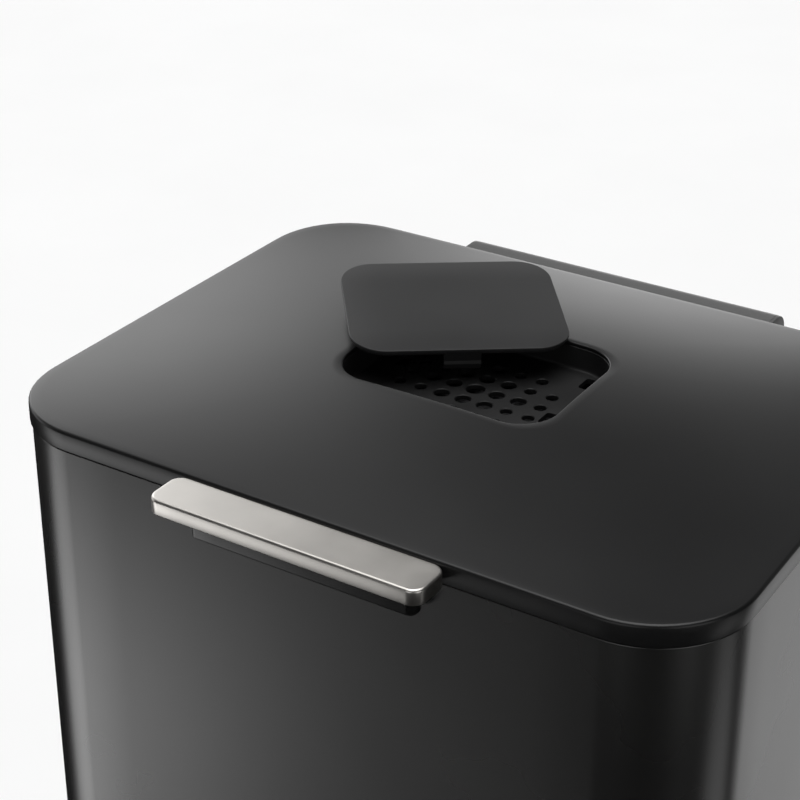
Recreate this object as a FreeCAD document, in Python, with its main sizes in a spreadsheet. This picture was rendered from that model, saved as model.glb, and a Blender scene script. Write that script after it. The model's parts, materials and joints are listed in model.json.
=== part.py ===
"""Hand-operated kitchen trash compactor: steel casing, hinged crowned lid, scissor press and lift-out bucket.

Frame: origin at the bottom centre, +X to the right, +Y to the back, +Z up. Millimetres and degrees.
The lid opens about the rear hinge shaft. Under the lid a two-stage scissor linkage carries the press plate.
"""
import FreeCAD, Part
import math
import os
import re
import Sketcher
from FreeCAD import Placement, Rotation, Vector

SIZES = {
    # casing and base
    "casing_width": 367.0, "casing_depth": 280.0, "casing_radius": 47.0,
    "casing_bottom": 16.0, "casing_top": 639.2, "steel": 1.2,
    "plinth_bottom": 5.0, "plinth_inset": 3.0, "base_floor": 3.0, "base_wall": 3.0, "base_upstand": 24.0,
    "boss_radius": 15.0, "foot_radius": 12.0, "foot_offset_x": 148.0, "foot_offset_y": 104.0,
    "foot_head_recess": 3.0, "foot_head_radius": 4.5, "foot_screw_radius": 2.2, "foot_screw_top": 14.0,
    # collar, bucket and liner ring
    "collar_bottom": 606.0, "collar_top": 638.6, "collar_wall": 3.0, "collar_ledge": 4.6,
    "collar_inset": 12.2,
    "bucket_bottom": 19.3, "bucket_top": 612.0, "bucket_rim": 6.0, "bucket_rim_inset": 14.5,
    "bucket_inset": 26.0, "bucket_wall": 2.5, "bucket_taper": 0.6,
    "ring_height": 4.0, "ring_drop": 12.0, "ring_outer_inset": 23.0, "ring_inner_inset": 25.0,
    # lid
    "lid_width": 369.0, "lid_depth": 282.0, "lid_radius": 48.0, "lid_edge": 650.0, "skirt_drop": 10.0,
    "lid_wall": 2.0, "crown": 14.0, "crown_reach": 1.1,
    "liner_flange": 2.5, "plug_inset": 15.5, "plug_bottom": 626.0, "liner_wall": 2.5,
    "seal_height": 1.1, "seal_outer_inset": 4.5, "seal_inner_inset": 11.5,
    # odour filter
    "opening_width": 114.0, "opening_depth": 87.4, "opening_radius": 20.5,
    "well_wall": 2.0, "well_floor_top": 648.0, "well_floor": 2.5, "well_flange": 8.0,
    "hole_pitch": 11.8, "hole_centre": 4.7, "hole_middle": 3.9, "hole_outer": 3.0,
    "outlet_x": 44.7, "outlet_length": 8.4, "outlet_width": 11.0,
    "outlet_rear_y": 33.0, "outlet_front_y": -7.5,
    "tray_width": 110.0, "tray_depth": 91.0, "tray_radius": 20.0, "tray_wall": 2.0, "tray_clearance": 1.0,
    "tray_rim": 6.0, "tray_floor": 2.5, "tray_height": 14.0, "filter_gap": 0.3, "filter_height": 13.0,
    "tray_window_width": 28.0, "tray_window_pitch": 34.0, "tray_window_depth": 62.0,
    "cover_width": 108.0, "cover_depth": 88.0, "cover_radius": 18.0, "cover_thick": 3.0,
    "tab_width": 18.0, "tab_thick": 2.5, "tab_drop": 9.6, "tab_inset": 3.0,
    "cover_x": -33.7, "cover_y": 34.6, "cover_z": 670.6,
    "cover_turn": 38.2, "cover_pitch": 4.3, "cover_roll": 1.6,
    # front handle
    "handle_length": 139.5, "handle_reach": 23.0, "handle_radius": 6.5,
    "handle_top": 649.0, "handle_height": 7.6,
    "block_length": 117.0, "block_reach": 9.0, "block_height": 16.4, "block_radius": 4.0,
    "handle_screw_x": 42.0, "handle_screw_radius": 1.6, "handle_screw_head": 2.7,
    # rear hinge
    "hinge_y": 153.6, "hinge_z": 636.8, "shaft_radius": 3.0, "running_gap": 0.05, "shaft_half": 88.0,
    "knuckle_radius": 6.5, "fixed_knuckle_inner": 38.0, "fixed_knuckle_outer": 58.0,
    "moving_knuckle_inner": 58.5, "moving_knuckle_outer": 78.5, "bush_radius": 4.2,
    "cover_bar_radius": 10.4, "cover_bar_wall": 2.0, "cover_bar_half": 90.0, "cover_bar_lip": 4.4,
    "cap_thick": 2.0, "cap_inset": 0.5,
    "leaf_half": 74.0, "leaf_thick": 2.0, "leaf_bottom": 594.0, "leaf_top": 635.8,
    "arm_bottom": 630.8, "leaf_screw_x": 50.0, "leaf_screw_step": 30.0, "leaf_screw_z": 615.0,
    "leaf_screw_radius": 2.0, "screw_head_radius": 4.0, "screw_head": 2.4, "leaf_screw_length": 8.0,
    "lid_leaf_bottom": 642.5, "lid_leaf_top": 645.0, "lid_leaf_front": 112.0, "notch_gap": 1.0,
    # scissor press
    "arm_length": 200.0, "fold_angle": 5.0, "pivot_z": 616.0, "arm_radius": 6.0, "link_thick": 3.0,
    "inner_layer": 118.0, "outer_layer": 121.6, "rail_layer": 125.3, "rail_thick": 3.0,
    "shaft_end": 129.0, "joint_shaft_end": 124.9,
    "open_pivot_gap": 0.4, "roller_radius": 3.9, "slot_half": 4.2, "roller_gap": 0.1, "slide_travel": 49.0,
    "rail_half": 108.0, "rail_drop": 20.0, "rail_flange": 12.0, "rail_flange_thick": 2.0, "rail_rise": 8.0,
    "plate_width": 290.0, "plate_depth": 206.0, "plate_radius": 22.0, "plate_thick": 2.0, "plate_rim": 4.0,
    "pad_inset": 6.0, "pad_thick": 1.5, "rib_width": 6.0, "rib_height": 3.0, "rib_x": 60.0,
    "rail_screw_y": 80.0, "rail_screw_radius": 1.6, "rail_screw_head": 3.0,
}

SIDES = (-1, 1)
AXIS_X = Rotation(Vector(0, 1, 0), 90)
AXIS_Y = Rotation(Vector(1, 0, 0), -90)
GRILLE_REACH_X = 3
GRILLE_REACH_Y = 2
GRILLE_CORNER = 3.2
GRILLE_LARGE = 2.1
CROWN_TOOL_DEPTH = 80
TOOL_TOP = "(lid_edge + 2*crown)"
SKIRT = "(lid_edge - skirt_drop)"
WELL_FLOOR = "(well_floor_top - well_floor)"

doc = FreeCAD.newDocument("trash_compactor")
sheet = doc.addObject("Spreadsheet::Sheet", "sizes")
for row, (alias, number) in enumerate(SIZES.items(), start=1):
    sheet.set(f"A{row}", alias)
    sheet.set(f"B{row}", str(number))
    sheet.setAlias(f"B{row}", alias)
doc.recompute()

nodes = {}


# ---------------------------------------------------------------- helpers

def cells(text):
    """Turn an expression written with plain size names into one that reads the sheet."""
    def refer(match):
        word = match.group(0)
        return f"sizes.{word}" if word in SIZES else word
    return re.sub(r"[a-z_]+", refer, str(text))


def bind(thing, prop, text):
    """Drive one property from the sheet."""
    thing.setExpression(prop, cells(text))


def place(thing, x="0", y="0", z="0"):
    """Drive an object's position from the sheet."""
    for axis, text in (("x", x), ("y", y), ("z", z)):
        bind(thing, f"Placement.Base.{axis}", text)
    return thing


def keep(name, thing):
    """Make an object a sub-part: its label is the node's name."""
    thing.Label = name
    nodes[name] = thing
    return thing


def box(x, y, z, length, depth, height):
    """A block from its lowest corner and its three sizes."""
    block = doc.addObject("Part::Box", "block")
    bind(block, "Length", length)
    bind(block, "Width", depth)
    bind(block, "Height", height)
    return place(block, x, y, z)


def rod(x, y, z, radius, length, turn=Rotation()):
    """A round bar from its first end; turn AXIS_X or AXIS_Y lays it along that axis."""
    bar = doc.addObject("Part::Cylinder", "bar")
    bar.Placement = Placement(Vector(), turn)
    bind(bar, "Radius", radius)
    bind(bar, "Height", length)
    return place(bar, x, y, z)


def fuse(*shapes):
    joined = doc.addObject("Part::MultiFuse", "joined")
    joined.Shapes = list(shapes)
    joined.Refine = True
    return joined


def cut(base, *tools):
    """Take every tool away from the base."""
    result = base
    for tool in tools:
        step = doc.addObject("Part::Cut", "cut")
        step.Base = result
        step.Tool = tool
        result = step
    return result


def common(first, second):
    shared = doc.addObject("Part::Common", "shared")
    shared.Base = first
    shared.Tool = second
    return shared


def group(shapes):
    """Separate solids that share one node."""
    several = doc.addObject("Part::Compound", "group")
    several.Links = list(shapes)
    return several


def outline(body, level, width, depth, radius):
    """A rounded rectangle sketch, centred on the body's origin, at one height."""
    sketch = body.newObject("Sketcher::SketchObject", "outline")
    plane = next(item for item in body.Origin.OriginFeatures if item.Role == "XY_Plane")
    sketch.AttachmentSupport = [(plane, "")]
    sketch.MapMode = "FlatFace"
    bind(sketch, ".AttachmentOffset.Base.z", level)
    half_x, half_y, corner = 100.0, 80.0, 20.0
    corners = [(1, -1, -90), (1, 1, 0), (-1, 1, 90), (-1, -1, 180)]
    for index, (side_x, side_y, start) in enumerate(corners):
        before = corners[index - 1]
        first = arc_end(before, half_x, half_y, corner, 90)
        last = arc_end(corners[index], half_x, half_y, corner, 0)
        sketch.addGeometry(Part.LineSegment(first, last))
        centre = Vector(side_x * (half_x - corner), side_y * (half_y - corner), 0)
        circle = Part.Circle(centre, Vector(0, 0, 1), corner)
        sketch.addGeometry(Part.ArcOfCircle(circle, math.radians(start), math.radians(start + 90)))
    for index in range(8):
        sketch.addConstraint(Sketcher.Constraint("Tangent", index, 2, (index + 1) % 8, 1))
    for line, kind in ((0, "Horizontal"), (4, "Horizontal"), (2, "Vertical"), (6, "Vertical")):
        sketch.addConstraint(Sketcher.Constraint(kind, line))
    for arc in (3, 5, 7):
        sketch.addConstraint(Sketcher.Constraint("Equal", 1, arc))
    sketch.addConstraint(Sketcher.Constraint("Symmetric", 0, 1, 4, 1, -1, 1))
    spans = {
        "width": Sketcher.Constraint("DistanceX", 6, 1, 2, 1, 2 * half_x),
        "depth": Sketcher.Constraint("DistanceY", 0, 1, 4, 2, 2 * half_y),
        "radius": Sketcher.Constraint("Radius", 1, corner),
    }
    for name, text in (("width", width), ("depth", depth), ("radius", radius)):
        sketch.renameConstraint(sketch.addConstraint(spans[name]), name)
        bind(sketch, f"Constraints.{name}", text)
    return sketch


def arc_end(corner_data, half_x, half_y, corner, sweep):
    """Point on a corner arc of the starting rectangle, sweep degrees along the arc."""
    side_x, side_y, start = corner_data
    angle = math.radians(start + sweep)
    return Vector(side_x * (half_x - corner) + corner * math.cos(angle),
                  side_y * (half_y - corner) + corner * math.sin(angle), 0)


def moulding(layers):
    """A body of rounded slabs: each layer adds or removes one, upwards from its level."""
    body = doc.addObject("PartDesign::Body", "moulding")
    for action, level, height, shape, *taper in layers:
        kind = "PartDesign::Pad" if action == "add" else "PartDesign::Pocket"
        feature = body.newObject(kind, action)
        feature.Profile = outline(body, level, *shape)
        bind(feature, "Length", height)
        feature.Reversed = action == "remove"
        if taper:
            bind(feature, "TaperAngle", taper[0])
        before = body.Shape.Volume if action == "remove" else 0.0
        doc.recompute()
        if action == "remove" and body.Shape.Volume > before - 1.0:
            raise RuntimeError(f"a pocket at {level} removed nothing")
    return body


def inside(inset, of="casing"):
    """The outline a given distance inside the casing's or another named outline."""
    return (f"{of}_width - 2*({inset})", f"{of}_depth - 2*({inset})", f"{of}_radius - ({inset})")


def crown_tool(drop):
    """A solid below the lid's crowned surface, lowered by a distance.

    The surface is lid_edge + crown (1 - (x/a)^2)(1 - (y/b)^2), which is exactly a 3 by 3 Bezier patch.
    """
    reach = SIZES["crown_reach"]
    edge = 1 - reach ** 2
    weights = (edge, 2 - edge, edge)
    patch = Part.BezierSurface()
    patch.increase(2, 2)
    for i, along_x in enumerate(weights):
        for j, along_y in enumerate(weights):
            x = (i - 1) * reach * SIZES["lid_width"] / 2
            y = (j - 1) * reach * SIZES["lid_depth"] / 2
            z = SIZES["lid_edge"] - drop + SIZES["crown"] * along_x * along_y
            patch.setPole(i + 1, j + 1, Vector(x, y, z))
    tool = doc.addObject("Part::Feature", "below_crown")
    tool.Shape = patch.toShape().extrude(Vector(0, 0, -CROWN_TOOL_DEPTH))
    return tool


# ---------------------------------------------------------------- cabinet

def casing():
    """Steel sleeve with a rounded rectangular section, drilled at the back for the hinge screws."""
    tube = "casing_top - casing_bottom"
    sleeve = moulding([
        ("add", "casing_bottom", tube, inside("0")),
        ("remove", "casing_bottom", tube, inside("steel")),
    ])
    keep("casing", cut(sleeve, *leaf_screw_rods("leaf_screw_radius")))


def base():
    """Moulded base with four bosses, rubber feet and their screws."""
    floor = "casing_bottom + base_floor"
    tray = moulding([
        ("add", "plinth_bottom", "casing_bottom - plinth_bottom", inside("plinth_inset")),
        ("add", "casing_bottom", "base_floor + base_upstand", inside("steel")),
        ("remove", floor, "base_upstand", inside("steel + base_wall")),
        ("remove", "plinth_bottom", "casing_bottom - plinth_bottom", inside("plinth_inset + base_wall")),
    ])
    bosses, screws, feet, bores = [], [], [], []
    for side_x in SIDES:
        for side_y in SIDES:
            at = (f"{side_x}*foot_offset_x", f"{side_y}*foot_offset_y")
            bosses.append(rod(*at, "plinth_bottom", "boss_radius", "casing_bottom - plinth_bottom"))
            bores.append(rod(*at, "plinth_bottom", "foot_screw_radius", "foot_screw_top - plinth_bottom"))
            pad = rod(*at, "0", "foot_radius", "plinth_bottom")
            recess = rod(*at, "0", "foot_head_radius + 1", "foot_head_recess")
            hole = rod(*at, "0", "foot_screw_radius", "plinth_bottom")
            feet.append(cut(pad, recess, hole))
            head = rod(*at, "foot_head_recess/2", "foot_head_radius", "foot_head_recess/2")
            shank = rod(*at, "foot_head_recess", "foot_screw_radius", "foot_screw_top - foot_head_recess")
            screws.append(fuse(head, shank))
    keep("base_tray", cut(fuse(tray, *bosses), *bores))
    keep("feet", group(feet))
    keep("foot_screws", group(screws))


def collar():
    """Plastic collar inside the casing's mouth; its inward ledge guides the lid's plug."""
    ring = moulding([
        ("add", "collar_bottom", "collar_top - collar_bottom", inside("steel")),
        ("remove", "collar_bottom", "collar_top - collar_bottom", inside("collar_inset")),
        ("remove", "collar_bottom", "collar_top - collar_ledge - collar_bottom",
         inside("steel + collar_wall")),
    ])
    keep("top_collar", cut(ring, *leaf_screw_rods("leaf_screw_radius")))


def bucket():
    """Lift-out waste bucket, slightly wider at its top, with a rim and a ring that holds the bag."""
    height = "bucket_top - bucket_bottom"
    keep("bucket", moulding([
        ("add", "bucket_bottom", height, inside("bucket_inset"), "bucket_taper"),
        ("add", "bucket_top - bucket_rim", "bucket_rim", inside("bucket_rim_inset")),
        ("remove", "bucket_bottom + bucket_wall", height, inside("bucket_inset + bucket_wall"),
         "bucket_taper"),
    ]))
    keep("liner_ring", moulding([
        ("add", "bucket_top", "ring_height", inside("bucket_rim_inset")),
        ("add", "bucket_top - ring_drop", "ring_drop", inside("ring_outer_inset")),
        ("remove", "bucket_top - ring_drop", "ring_drop + ring_height", inside("ring_inner_inset")),
    ]))


# ---------------------------------------------------------------- rear hinge

def leaf_screw_places():
    """Horizontal places of the four screws that hold the hinge leaf to the casing's back."""
    return [f"{side}*(leaf_screw_x - {step}*leaf_screw_step)" for side in SIDES for step in (0, 1)]


def leaf_screw_rods(radius):
    """Rods through the casing, collar and leaf, where the screws go."""
    start = "casing_depth/2 + leaf_thick - leaf_screw_length"
    return [rod(x, start, "leaf_screw_z", radius, "leaf_screw_length", AXIS_Y) for x in leaf_screw_places()]


def knuckle(side, inner, outer, radius):
    """A cylinder around the hinge line, on one side, between two distances from the middle."""
    start = inner if side > 0 else f"0 - ({outer})"
    return rod(start, "hinge_y", "hinge_z", radius, f"({outer}) - ({inner})", AXIS_X)


def span_box(side, inner, outer, y, z, depth, height):
    """A block on one side, between two distances from the middle."""
    start = inner if side > 0 else f"0 - ({outer})"
    return box(start, y, z, f"({outer}) - ({inner})", depth, height)


def hinge():
    """Fixed leaf, moving leaf, shaft, bushes and screws of the rear hinge."""
    back, arm_depth, arm_height = "casing_depth/2", "hinge_y - casing_depth/2", "leaf_top - arm_bottom"
    plate = box("0 - leaf_half", back, "leaf_bottom", "2*leaf_half", "leaf_thick", "leaf_top - leaf_bottom")
    fixed, moving, bushes, tips = [plate], [], [], []
    for side in SIDES:
        ends = ("fixed_knuckle_inner", "fixed_knuckle_outer")
        fixed.append(knuckle(side, *ends, "knuckle_radius"))
        fixed.append(span_box(side, *ends, back, "arm_bottom", arm_depth, arm_height))
        ends = ("moving_knuckle_inner", "moving_knuckle_outer")
        barrel = knuckle(side, *ends, "knuckle_radius")
        strap = span_box(side, *ends, "lid_leaf_front", "lid_leaf_bottom", "hinge_y - lid_leaf_front",
                         "lid_leaf_top - lid_leaf_bottom")
        moving.append(cut(fuse(barrel, strap), knuckle(side, *ends, "bush_radius")))
        running_bore = knuckle(side, *ends, "shaft_radius + running_gap")
        bushes.append(cut(knuckle(side, *ends, "bush_radius"), running_bore))
    shaft_line = ("0 - shaft_half", "hinge_y", "hinge_z", "shaft_radius", "2*shaft_half", AXIS_X)
    keep("hinge_leaf_fixed", cut(fuse(*fixed), rod(*shaft_line), *leaf_screw_rods("leaf_screw_radius")))
    keep("hinge_leaf_lid", group(moving))
    keep("hinge_bushes", group(bushes))
    keep("hinge_shaft", rod(*shaft_line))
    for x, shank in zip(leaf_screw_places(), leaf_screw_rods("leaf_screw_radius")):
        head = rod(x, f"{back} + leaf_thick", "leaf_screw_z", "screw_head_radius", "screw_head", AXIS_Y)
        tips.append(fuse(head, shank))
    keep("hinge_screws", group(tips))


def bar_profile(start, length, radius):
    """The hinge cover's outer form: round at the back, flat on top, running up to the lid's skirt."""
    barrel = rod(start, "hinge_y", "hinge_z", radius, length, AXIS_X)
    front = box(start, "lid_depth/2", SKIRT, length, "hinge_y - lid_depth/2", f"hinge_z + {radius} - {SKIRT}")
    return fuse(barrel, front)


def bar_mouth(start, length):
    """The open underside of the hinge cover, where the fixed leaf's arms reach in."""
    reach = "2*cover_bar_radius"
    front = box(start, "hinge_y - cover_bar_radius - lid_wall", "hinge_z - 2*cover_bar_radius", length,
                "cover_bar_radius + lid_wall", f"2*cover_bar_radius + {SKIRT} - hinge_z")
    rear = box(start, "hinge_y", "hinge_z - 2*cover_bar_radius", length, reach,
               "2*cover_bar_radius - cover_bar_lip")
    return [front, rear]


def hinge_cover():
    """Long bar behind the lid that hides the hinge, with an inset cap at each end."""
    bar = ("0 - cover_bar_half", "2*cover_bar_half")
    hollow = bar_profile(*bar, "(cover_bar_radius - cover_bar_wall)")
    keep("hinge_cover", cut(bar_profile(*bar, "cover_bar_radius"), hollow, *bar_mouth(*bar)))
    caps = []
    for side in SIDES:
        start = "cover_bar_half" if side > 0 else "0 - cover_bar_half - cap_thick"
        caps.append(cut(bar_profile(start, "cap_thick", "(cover_bar_radius - cap_inset)"),
                        *bar_mouth(start, "cap_thick")))
    keep("hinge_cover_caps", group(caps))


# ---------------------------------------------------------------- lid

def lid_shell():
    """Crowned lid with a short skirt, the filter opening, and notches at the back for the hinge straps."""
    height = f"{TOOL_TOP} - {SKIRT}"
    outer = moulding([("add", SKIRT, height, inside("0", "lid"))])
    hollow = moulding([("add", SKIRT, height, inside("lid_wall", "lid"))])
    opening = moulding([("add", SKIRT, height, inside("0", "opening"))])
    notches = []
    for side in SIDES:
        ends = ("moving_knuckle_inner - notch_gap", "moving_knuckle_outer + notch_gap")
        notches.append(span_box(side, *ends, "lid_depth/2 - 2*lid_wall", SKIRT, "4*lid_wall",
                                f"lid_leaf_top + notch_gap - {SKIRT}"))
    dome = common(outer, crown_tool(0))
    cavity = common(hollow, crown_tool(SIZES["lid_wall"]))
    bores = [handle_screw(side, "handle_screw_radius")[0] for side in SIDES]
    keep("lid_shell", cut(dome, cavity, opening, *notches, *bores))


def lid_liner():
    """Plastic tub under the lid whose plug enters the collar, with the rubber seal beneath its flange."""
    tub = moulding([
        ("add", SKIRT, "liner_flange", inside("lid_wall", "lid")),
        ("add", "plug_bottom", f"{SKIRT} - plug_bottom", inside("plug_inset")),
        ("remove", "plug_bottom + liner_wall", f"{SKIRT} - plug_bottom", inside("plug_inset + liner_wall")),
        ("remove", "plug_bottom", "liner_wall", inside("0 - tray_clearance", "tray")),
    ])
    keep("lid_liner", cut(tub, *[handle_screw(side, "handle_screw_head")[1] for side in SIDES]))
    keep("lid_seal", moulding([
        ("add", f"{SKIRT} - seal_height", "seal_height", inside("seal_outer_inset")),
        ("remove", f"{SKIRT} - seal_height", "seal_height", inside("seal_inner_inset")),
    ]))


def grille_holes():
    """Round holes on a square grid, largest in the middle and left out at the corners."""
    holes = []
    for column in range(-GRILLE_REACH_X, GRILLE_REACH_X + 1):
        for line in range(-GRILLE_REACH_Y, GRILLE_REACH_Y + 1):
            distance = math.hypot(column, line)
            if distance > GRILLE_CORNER:
                continue
            size = "hole_middle" if distance < GRILLE_LARGE else "hole_outer"
            if distance == 0:
                size = "hole_centre"
            holes.append(rod(f"{column}*hole_pitch", f"{line}*hole_pitch",
                             "well_floor_top - 2*well_floor", size, "3*well_floor"))
    return holes


def outlets():
    """Slots near the well's end walls, where a twist catches the tray; the two pairs are half a turn apart."""
    slots = []
    for side in SIDES:
        for along in ("outlet_rear_y", "outlet_front_y"):
            slots.append(box(f"{side}*outlet_x - outlet_length/2", f"{side}*{along} - outlet_width/2",
                             "well_floor_top - 2*well_floor", "outlet_length", "outlet_width", "3*well_floor"))
    return slots


def odour_filter():
    """Perforated well under the opening, the charcoal cartridge below it and the tray that holds it."""
    height = f"{TOOL_TOP} - {WELL_FLOOR}"
    block = moulding([("add", WELL_FLOOR, height, inside("0 - well_wall", "opening"))])
    flange = moulding([("add", WELL_FLOOR, height, inside("0 - well_flange", "opening"))])
    flange = cut(flange, crown_tool(2 * SIZES["lid_wall"]))
    hollow = moulding([("add", "well_floor_top", f"{TOOL_TOP} - well_floor_top", inside("0", "opening"))])
    walls = common(fuse(block, flange), crown_tool(SIZES["lid_wall"]))
    keep("filter_well", cut(walls, hollow, fuse(*grille_holes()), *outlets()))
    tray = moulding([
        ("add", "plug_bottom - tray_floor", "tray_floor", inside("0 - tray_rim", "tray")),
        ("add", "plug_bottom", "tray_height", inside("0", "tray")),
        ("remove", "plug_bottom", "tray_height", inside("tray_wall", "tray")),
    ])
    windows = []
    for column in (-1, 0, 1):
        windows.append(box(f"{column}*tray_window_pitch - tray_window_width/2", "0 - tray_window_depth/2",
                           "plug_bottom - 2*tray_floor", "tray_window_width", "tray_window_depth",
                           "3*tray_floor"))
    keep("filter_tray", cut(tray, fuse(*windows)))
    keep("filter_cartridge", moulding([
        ("add", "plug_bottom", "filter_height", inside("tray_wall + filter_gap", "tray")),
    ]))


def filter_cover():
    """Lift-off cover with a snap tab at the middle of each long edge, lying turned on the lid."""
    plate = moulding([("add", "0 - cover_thick", "cover_thick", inside("0", "cover"))])
    tabs = []
    for side in SIDES:
        edge = f"{side}*(cover_depth/2 - tab_inset - tab_thick/2) - tab_thick/2"
        tabs.append(box("0 - tab_width/2", edge, "0 - cover_thick - tab_drop", "tab_width", "tab_thick",
                        "cover_thick/2 + tab_drop"))
    cover = fuse(plate, *tabs)
    turn = Rotation(Vector(0, 0, 1), SIZES["cover_turn"])
    pitch = Rotation(Vector(1, 0, 0), SIZES["cover_pitch"])
    roll = Rotation(Vector(0, 1, 0), SIZES["cover_roll"])
    cover.Placement = Placement(Vector(), turn * pitch * roll)
    keep("filter_cover", place(cover, "cover_x", "cover_y", "cover_z"))


def handle_screw(side, radius):
    """Shank and head of one handle screw, driven outwards through the lid's front skirt."""
    at = (f"{side}*handle_screw_x", "handle_top - handle_height/2")
    shank = rod(at[0], "0 - lid_depth/2 - handle_reach/2", at[1], radius, "handle_reach/2 + lid_wall", AXIS_Y)
    head = rod(at[0], "0 - lid_depth/2 + lid_wall", at[1], "handle_screw_head", "lid_wall", AXIS_Y)
    return shank, head


def handle():
    """Metal pull bar on the front skirt, with a black block below it."""
    bottom = "handle_top - handle_height"
    shape = ("handle_length", "handle_reach", "handle_radius")
    bar = moulding([("add", bottom, "handle_height", shape)])
    place(bar, y="0 - lid_depth/2 - handle_reach/2")
    screws = [handle_screw(side, "handle_screw_radius") for side in SIDES]
    keep("handle_bar", cut(bar, *[shank for shank, head in screws]))
    block = moulding([("add", f"{bottom} - block_height", "block_height",
                       ("block_length", "block_reach", "block_radius"))])
    keep("handle_block", place(block, y="0 - lid_depth/2 - block_reach/2"))
    keep("handle_screws", group([fuse(shank, head) for shank, head in screws]))


# ---------------------------------------------------------------- scissor press

HALF_SPREAD = "(arm_length*cos(fold_angle)/2)"
STAGE_DROP = "(arm_length*sin(fold_angle))"


def side_start(side, layer, thick="link_thick"):
    """Lowest x of a plate that lies in one layer on one side."""
    return layer if side > 0 else f"0 - {layer} - {thick}"


def arm_pair(name, layer, level, slope, bores):
    """Left and right scissor arms, sloping up (+1) or down (-1) towards the back, with three bores."""
    pair = []
    for side in SIDES:
        start = side_start(side, layer)
        web = box("0", "0 - arm_length/2", "0 - arm_radius", "link_thick", "arm_length", "2*arm_radius")
        ends = [rod("0", f"{end}*arm_length/2", "0", "arm_radius", "link_thick", AXIS_X) for end in SIDES]
        arm = fuse(web, *ends)
        for position, radius in zip((-1, 0, 1), bores):
            arm = cut(arm, rod("0", f"{position}*arm_length/2", "0", radius, "link_thick", AXIS_X))
        arm.Placement = Placement(Vector(), Rotation(Vector(1, 0, 0), slope * SIZES["fold_angle"]))
        pair.append(place(arm, start, "0", level))
    keep(name, group(pair))


def cross_shaft(name, y, z, end="shaft_end"):
    """Round shaft from the left side of the linkage to the right."""
    keep(name, rod(f"0 - {end}", y, z, "shaft_radius", f"2*{end}", AXIS_X))


def roller_pair(name, y, z):
    """Nylon rollers on the ends of a sliding shaft."""
    pair = []
    for side in SIDES:
        start = side_start(side, "(rail_layer + roller_gap)", "(rail_thick - 2*roller_gap)")
        size = ("rail_thick - 2*roller_gap", AXIS_X)
        pair.append(cut(rod(start, y, z, "roller_radius", *size), rod(start, y, z, "shaft_radius", *size)))
    keep(name, group(pair))


def rail_pair(name, pivot_level, low, high, flange_level):
    """Left and right rails: a bore at the back for the fixed pivot, a slot at the front for the roller."""
    pair = []
    for side in SIDES:
        start = side_start(side, "rail_layer", "rail_thick")
        plate = box(start, "0 - rail_half", low, "rail_thick", "2*rail_half", f"{high} - ({low})")
        flange = box(side_start(side, "rail_layer", "rail_flange"), "0 - rail_half", flange_level,
                     "rail_flange", "2*rail_half", "rail_flange_thick")
        bore = rod(start, HALF_SPREAD, pivot_level, "shaft_radius", "rail_thick", AXIS_X)
        slot_start = f"0 - {HALF_SPREAD}"
        slot = fuse(
            rod(start, slot_start, pivot_level, "slot_half", "rail_thick", AXIS_X),
            rod(start, f"{slot_start} + slide_travel", pivot_level, "slot_half", "rail_thick", AXIS_X),
            box(start, slot_start, f"{pivot_level} - slot_half", "rail_thick", "slide_travel", "2*slot_half"))
        pair.append(cut(fuse(plate, flange), bore, slot))
    keep(name, group(pair))


def scissor():
    """Two-stage lazy-tongs linkage from the lid's rails down to the press plate's rails."""
    rear, front = HALF_SPREAD, f"0 - {HALF_SPREAD}"
    top, middle, bottom = "pivot_z", f"pivot_z - {STAGE_DROP}", f"pivot_z - 2*{STAGE_DROP}"
    upper_centre, lower_centre = f"pivot_z - {STAGE_DROP}/2", f"pivot_z - 1.5*{STAGE_DROP}"
    tight, running, loose = "shaft_radius", "shaft_radius + running_gap", "shaft_radius + open_pivot_gap"
    rail_pair("lid_rails", top, "plug_bottom - rail_drop", "plug_bottom", "plug_bottom - rail_flange_thick")
    cross_shaft("top_pivot_shaft", rear, top)
    arm_pair("upper_arms_inner", "inner_layer", upper_centre, 1, (tight, tight, running))
    cross_shaft("upper_centre_shaft", "0", upper_centre, "joint_shaft_end")
    cross_shaft("front_joint_shaft", front, middle, "joint_shaft_end")
    arm_pair("upper_arms_outer", "outer_layer", upper_centre, -1, (tight, running, tight))
    cross_shaft("upper_slide_shaft", front, top)
    roller_pair("upper_rollers", front, top)
    cross_shaft("rear_joint_shaft", rear, middle, "joint_shaft_end")
    arm_pair("lower_arms_inner", "inner_layer", lower_centre, 1, (tight, tight, running))
    cross_shaft("lower_centre_shaft", "0", lower_centre, "joint_shaft_end")
    cross_shaft("lower_slide_shaft", front, bottom)
    roller_pair("lower_rollers", front, bottom)
    arm_pair("lower_arms_outer", "outer_layer", lower_centre, -1, (loose, running, running))
    cross_shaft("plate_pivot_shaft", rear, bottom)
    plate_top = f"{bottom} - rail_rise"
    rail_pair("plate_rails", bottom, plate_top, f"{bottom} + rail_rise", plate_top)


def press_plate():
    """Flat press plate with a turned-down rim and two stiffening ribs, and a soft pad on its underside."""
    top = f"pivot_z - 2*{STAGE_DROP} - rail_rise"
    under = f"{top} - plate_thick"
    plate = moulding([
        ("add", f"{under} - plate_rim", "plate_thick + plate_rim", inside("0", "plate")),
        ("remove", f"{under} - plate_rim", "plate_rim", inside("pad_inset/2", "plate")),
    ])
    ribs = [box(f"{side}*rib_x - rib_width/2", "0 - plate_depth/2 + pad_inset", top, "rib_width",
                "plate_depth - 2*pad_inset", "rib_height") for side in SIDES]
    keep("press_plate", fuse(plate, *ribs))
    keep("press_pad", moulding([
        ("add", f"{under} - pad_thick", "pad_thick", inside("pad_inset", "plate")),
    ]))


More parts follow.
